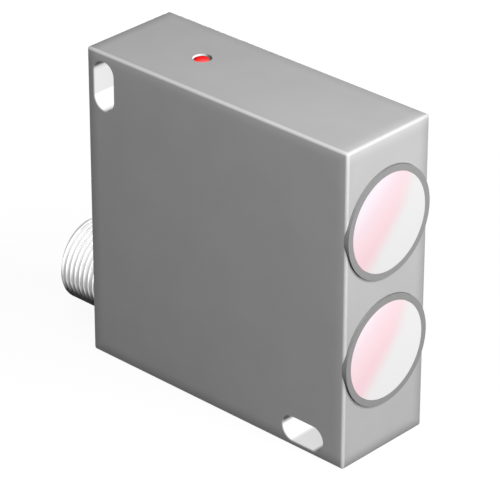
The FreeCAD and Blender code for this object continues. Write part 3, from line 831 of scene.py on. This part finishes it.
def nickel_finish(centre):
    """Bright plated thread with a painted reflection: painted light above, painted shade below and in the
    grooves, and a faint painted glow.

    up rises from 0 at the bottom to 1 at the top, and the other way round in the socket. The crests lie at
    the thread's full radius. The lip, which is the thread's first stretch, has painted shade. The ends are
    plain.
    """
    material, shader = new_material("nickel", metallic=1.0, roughness=0.35)
    tree = Tree(material)
    _, y, z = tree.split(tree.place(centre=centre))
    radius = tree.reach(y, z)
    outwards = tree.span(tree.under(radius, socket_radius + slack), 0, 1, 1, -1)
    up = tree.span(tree.product(tree.math("DIVIDE", z, radius), outwards), -1, 1, 0, 1)
    # Painted shade in the grooves, which changes with how far they face up.
    groove = tree.ramp(up, (0.33, grey(1)), (0.45, grey(0.7)), (0.63, grey(0.57)), (0.75, grey(0.67)),
                       (1.0, grey(0.75)))
    # Painted light from above, fading to dark below.
    painted_top_light = tree.ramp(up, (0.25, grey(0.04)), (0.33, grey(0.2)), (0.415, grey(0.52)), (0.5, grey(0.67)),
                    (0.63, grey(0.97)), (0.72, grey(1)))
    crest = tree.span(radius, thread_radius - 0.3 * MM, thread_radius - 0.05 * MM, 0, 1)
    along = tree.split(tree.place())[0]
    at_lip = tree.span(along, shell_low.x + 0.75 * MM, shell_low.x + 0.55 * MM, 0, 1)
    # Painted shade on the lip, most where it faces sideways.
    dim = tree.ramp(up, (0.33, grey(0.9)), (0.42, grey(0.3)), (0.55, grey(0.3)), (0.7, grey(0.75)))
    lip = tree.mix(at_lip, grey(1), dim)
    turned = tree.product(tree.mix(crest, groove, grey(1)), painted_top_light, lip)
    on_end = tree.over(tree.size(tree.facing((1, 0, 0))), 0.97)
    light = tree.mix(on_end, turned, grey(0.5))
    fine = tree.noise(tree.place(scale=(1, 4, 4)), 0.3 * MM)
    plated = tree.mix(fine, grey(0.93), grey(1))
    # The metal's colour carries the painted reflection.
    painted_reflection = tree.mix(light, grey(0), plated)
    tree.put(painted_reflection, shader.inputs["Base Color"])
    tree.put(painted_reflection, shader.inputs["Specular Tint"])
    tree.put((1, 1, 1, 1), shader.inputs["Emission Color"])
    # A faint painted glow from the same painted light.
    tree.put(tree.product(light, 0.3), shader.inputs["Emission Strength"])
    tree.bump(tree.product(fine, 0.002), shader)
    return material


def shades_of(colour, variation):
    """A darker and a lighter shade of a colour."""
    return [tuple(min(1.0, channel * (1 + step)) for channel in colour) for step in (-variation, variation)]


def plain_finish(name, colour, metallic=0.0, roughness=0.5, grain=0.3 * MM, depth=0.003, variation=0.1,
                 coat=0.0, stretch=(1, 1, 1)):
    """One colour with slight cloudy variation and a fine grain, depth millimetres deep.

    stretch under 1 on an axis draws the grain out along it, as on drawn or turned metal.
    """
    material, shader = new_material(name, colour, metallic, roughness, coat)
    tree = Tree(material)
    fine = tree.noise(tree.place(scale=stretch), grain)
    wide = tree.noise(tree.place(), 12 * grain)
    tree.put(tree.mix(wide, *shades_of(colour, variation)), shader.inputs["Base Color"])
    tree.put(tree.span(fine, 0.3, 0.7, roughness * 0.9, roughness * 1.1), shader.inputs["Roughness"])
    tree.bump(tree.product(fine, depth), shader)
    return material


def tinned_finish(name, colour, node, axis, end, accent=None, accent_colour=(0.5, 0.5, 0.5)):
    """Moulded or fired body whose ends on one axis, end metres long, are tinned metal.

    accent gives a mask for a plain mark on the body from the tree, the offset from the node's middle and
    the node's half size.
    """
    low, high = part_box(node)
    half = (high - low) / 2
    material, shader = new_material(name)
    tree = Tree(material)
    offset = tree.split(tree.place(centre=(low + high) / 2))
    tinned = tree.over(tree.size(offset[axis]), half[axis] - end)
    fine = tree.noise(tree.place(), 0.12 * MM)
    body = tree.mix(fine, *shades_of(colour, 0.15))
    if accent:
        body = tree.mix(accent(tree, offset, half), body, accent_colour)
    tree.put(tree.mix(tinned, body, tin_colour), shader.inputs["Base Color"])
    tree.put(tinned, shader.inputs["Metallic"])
    tree.put(tree.span(tinned, 0, 1, 0.6, 0.3), shader.inputs["Roughness"])
    tree.bump(tree.product(fine, 0.004), shader)
    return material


def first_leg_dimple(tree, offset, half):
    """Round dimple in a chip's top face, beside its first leg."""
    from_end, from_side, radius = 1.1 * MM, 2.3 * MM, 0.35 * MM
    away = tree.reach(tree.total(offset[0], half.x - from_end), tree.total(offset[2], half.z - from_side))
    return tree.product(tree.under(away, radius), tree.over(offset[1], half.y - 0.05 * MM))


def cathode_band(tree, offset, half):
    """Band round a diode's body near one end."""
    from_middle, half_width = 1.4 * MM, 0.3 * MM
    return tree.under(tree.size(tree.total(offset[0], from_middle)), half_width)


def resistor_film(tree, offset, half):
    """Dark film on a resistor's top face."""
    return tree.over(offset[1], half.y - 0.05 * MM)


def capacitor_finish():
    """Drawn aluminium can on a black foot, with a dark mark and a pressed cross in its top."""
    low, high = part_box("smoothing_capacitor")
    half = (high - low) / 2
    material, shader = new_material("capacitor_can")
    tree = Tree(material)
    x, y, z = tree.split(tree.place(centre=(low + high) / 2))
    foot_height, mark_start = 0.9 * MM, 1.3 * MM
    arm_length, arm_half = 2.2 * MM, 0.08 * MM
    on_top = tree.over(y, half.y - 0.1 * MM)
    foot = tree.under(y, foot_height - half.y)
    mark = tree.product(on_top, tree.over(x, mark_start))
    drawn = tree.noise(tree.place(scale=(1, 0.1, 1)), 0.2 * MM)
    metal = tree.mix(drawn, grey(0.66), grey(0.74))
    dark = tree.greatest(foot, mark)
    tree.put(tree.mix(dark, metal, grey(0.03)), shader.inputs["Base Color"])
    tree.put(tree.span(dark, 0, 1, 1, 0), shader.inputs["Metallic"])
    tree.put(tree.span(dark, 0, 1, 0.3, 0.5), shader.inputs["Roughness"])
    arms = tree.greatest(tree.under(tree.size(x), arm_half), tree.under(tree.size(z), arm_half))
    cross = tree.product(arms, on_top, tree.under(tree.reach(x, z), arm_length))
    tree.bump(tree.math("SUBTRACT", tree.product(drawn, 0.002), tree.product(cross, 0.1)), shader)
    return material


def wire_finish(name, colour, node):
    """Insulated wire, stripped and tinned where it meets its pin and the board."""
    low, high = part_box(node)
    stripped = 0.6 * MM
    material, shader = new_material(name)
    tree = Tree(material)
    x, y, _ = tree.split(tree.place())
    bare = tree.greatest(tree.under(x, low.x + stripped), tree.under(y, low.y + stripped))
    fine = tree.noise(tree.place(), 0.2 * MM)
    sleeve = tree.mix(fine, *shades_of(colour, 0.12))
    tree.put(tree.mix(bare, sleeve, tin_colour), shader.inputs["Base Color"])
    tree.put(bare, shader.inputs["Metallic"])
    tree.put(tree.span(bare, 0, 1, 0.4, 0.3), shader.inputs["Roughness"])
    tree.bump(tree.product(fine, 0.002), shader)
    return material


def lead_places():
    """(x, z) where each lead of a diode or the lamp goes through the board, at its box's low corner."""
    places = []
    for node in nodes:
        if node.endswith("_lead"):
            low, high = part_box(node)
            places.append((low.x + lead_radius, low.z + lead_radius))
    return places


def wire_places():
    """(x, z) where each inner wire of the connector meets the board."""
    places = []
    for node in nodes:
        if node.startswith("connector_wire"):
            low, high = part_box(node)
            places.append((high.x - wire_radius, (low.z + high.z) / 2))
    return places


def board_screw_places():
    """(x, z) of the two board screws, which stand at opposite corners of their node's box."""
    low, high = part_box("board_screws")
    return [(low.x + screw_head_radius, high.z - screw_head_radius),
            (high.x - screw_head_radius, low.z + screw_head_radius)]


def board_finish():
    """Green lacquer over copper tracks, with tinned pads round the leads, wires and screws, and tan edges.

    Tracks are the middle fifth of every pitch, drawn where a noise stretched along them is high.
    """
    material, shader = new_material("board_laminate")
    tree = Tree(material)
    x, _, z = tree.split(tree.place())
    tracks = []
    for across, stretch in ((x, (1, 1, 0.15)), (z, (0.15, 1, 1))):
        step = tree.math("FRACT", tree.product(across, 1 / track_pitch))
        line = tree.under(tree.size(tree.total(step, -0.5)), 0.1)
        drawn = tree.over(tree.noise(tree.place(scale=stretch), 4 * MM), 0.52)
        tracks.append(tree.product(line, drawn))
    track = tree.greatest(*tracks)
    spots = [(place, pad_radius) for place in lead_places()]
    spots += [(place, 1.3 * pad_radius) for place in wire_places()]
    spots += [(place, 1.3 * screw_head_radius) for place in board_screw_places()]
    pads = []
    for (spot_x, spot_z), radius in spots:
        away = tree.reach(tree.total(x, -spot_x), tree.total(z, -spot_z))
        pads.append(tree.under(away, radius))
    on_face = tree.over(tree.size(tree.facing((0, 1, 0))), 0.5)
    pad = tree.product(tree.greatest(*pads), on_face)
    fine = tree.noise(tree.place(), 0.3 * MM)
    lacquer = tree.mix(fine, (0.02, 0.17, 0.07), (0.03, 0.2, 0.085))
    green = tree.mix(track, lacquer, (0.05, 0.3, 0.12))
    board = tree.mix(on_face, (0.5, 0.46, 0.25), green)
    tree.put(tree.mix(pad, board, tin_colour), shader.inputs["Base Color"])
    tree.put(pad, shader.inputs["Metallic"])
    tree.put(tree.span(pad, 0, 1, 0.3, 0.35), shader.inputs["Roughness"])
    tree.bump(tree.total(tree.product(track, 0.03), tree.product(fine, 0.003)), shader)
    return material


def dress(node, material):
    """Gives a CAD node its material."""
    slots = nodes[node].data.materials
    slots.clear()
    slots.append(material)


def add_to_body(piece):
    """The piece rides on the one body."""
    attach(piece, "root")


bpy.context.scene.view_settings.view_transform = "Standard"
make_camera()
make_world(level=0.09)
make_lamp("key", azimuth=100, elevation=35, distance=0.235, size=0.1, level=0.73)
make_lamp("fill", azimuth=60, elevation=20, distance=0.25, size=0.1, level=0.24)
make_lamp("overhead", azimuth=0, elevation=60, distance=0.22, size=0.12, level=0.23)
make_lamp("behind", azimuth=225, elevation=0, distance=0.3, size=0.06, level=0.2)
make_floor()

nickel = nickel_finish(shell_middle)
steel = plain_finish("screw_steel", grey(0.6), metallic=1.0, roughness=0.35)
rubber = plain_finish("rubber", grey(0.03), roughness=0.7, depth=0.006)
plastic = plain_finish("black_plastic", grey(0.03), depth=0.005)
brass = plain_finish("contact_brass", (0.85, 0.65, 0.3), metallic=1.0, roughness=0.25, stretch=(0.1, 1, 1))
tin = plain_finish("tinned_wire", tin_colour, metallic=1.0, roughness=0.3)
solder = plain_finish("solder", (0.66, 0.66, 0.65), metallic=1.0, roughness=0.25, variation=0.05)
black_mould = (0.045, 0.045, 0.05)
alumina = (0.75, 0.74, 0.7)
sintered_brown = (0.42, 0.29, 0.17)
along_x, across_z = 0, 2
finishes = {
    "housing": housing_finish(),
    "side_cover": cover_finish(),
    "cover_screws": steel,
    "board_screws": steel,
    "cover_gasket": rubber,
    "connector_ring": rubber,
    "connector_insert": plastic,
    "circuit_board": board_finish(),
    "smoothing_capacitor": capacitor_finish(),
    "emitter_diode": plain_finish("diode_resin", (0.55, 0.05, 0.08), roughness=0.15, coat=0.5),
    "receiver_diode": plain_finish("dark_resin", (0.04, 0.03, 0.05), roughness=0.15, coat=0.5),
    "indicator_lamp": lamp_finish(),
}
for chip in ("controller_chip", "amplifier_chip"):
    finishes[chip] = tinned_finish(chip + "_case", black_mould, chip, across_z, leg_reach,
                                   first_leg_dimple, grey(0.1))
for package in ("voltage_regulator", "output_transistor"):
    finishes[package] = tinned_finish(package + "_case", black_mould, package, across_z, leg_reach)
for diode in ("protection_diode_1", "protection_diode_2"):
    finishes[diode] = tinned_finish(diode + "_case", black_mould, diode, along_x, tab_reach,
                                    cathode_band, grey(0.6))
resistor = tinned_finish("resistor_body", alumina, "chip_resistor_1", along_x, 0.35 * MM,
                         resistor_film, grey(0.04))
ceramic = tinned_finish("ceramic_body", sintered_brown, "ceramic_capacitor_1", across_z, 0.4 * MM)
sleeve_colours = {"connector_wire_1": (0.17, 0.07, 0.03), "connector_wire_2": (0.75, 0.75, 0.72),
                  "connector_wire_3": (0.02, 0.08, 0.4), "connector_wire_4": (0.02, 0.02, 0.02)}
for wire, colour in sleeve_colours.items():
    finishes[wire] = wire_finish(wire + "_sleeve", colour, wire)
for side, shift, gain in (("emitter", 0.0, 1.0), ("receiver", 0.6, 1.1)):
    low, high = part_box(side + "_lens")
    axis_place = (low + high) / 2
    finishes[side + "_bezel"] = bezel_finish(side + "_bezel_coat", axis_place)
    glass = lens(side + "_glass", side + "_lens", lens_finish(side + "_glass", axis_place, shift, gain))
    add_to_body(glass)
    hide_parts(side + "_lens")
    finishes[side + "_lens_seal"] = rubber
    finishes[side + "_light_tube"] = plastic
shared = {"chip_resistor": resistor, "ceramic_capacitor": ceramic, "contact_pin": brass}
for node in nodes:
    family = node.rstrip("0123456789").rstrip("_")
    if node in finishes:
        dress(node, finishes[node])
    elif family in shared:
        dress(node, shared[family])
    elif node.endswith("_lead"):
        dress(node, tin)

shell = connector_shell(nickel)
add_to_body(shell)
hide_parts("connector_shell")
add_to_body(solder_joints("lead_solder", lead_places(), board_back, side=-1, wire=lead_radius,
                          foot=0.75 * MM, height=0.45 * MM, material=solder))
add_to_body(solder_joints("wire_solder", wire_places(), board_face, side=1, wire=wire_radius,
                          foot=1.05 * MM, height=0.5 * MM, material=solder))
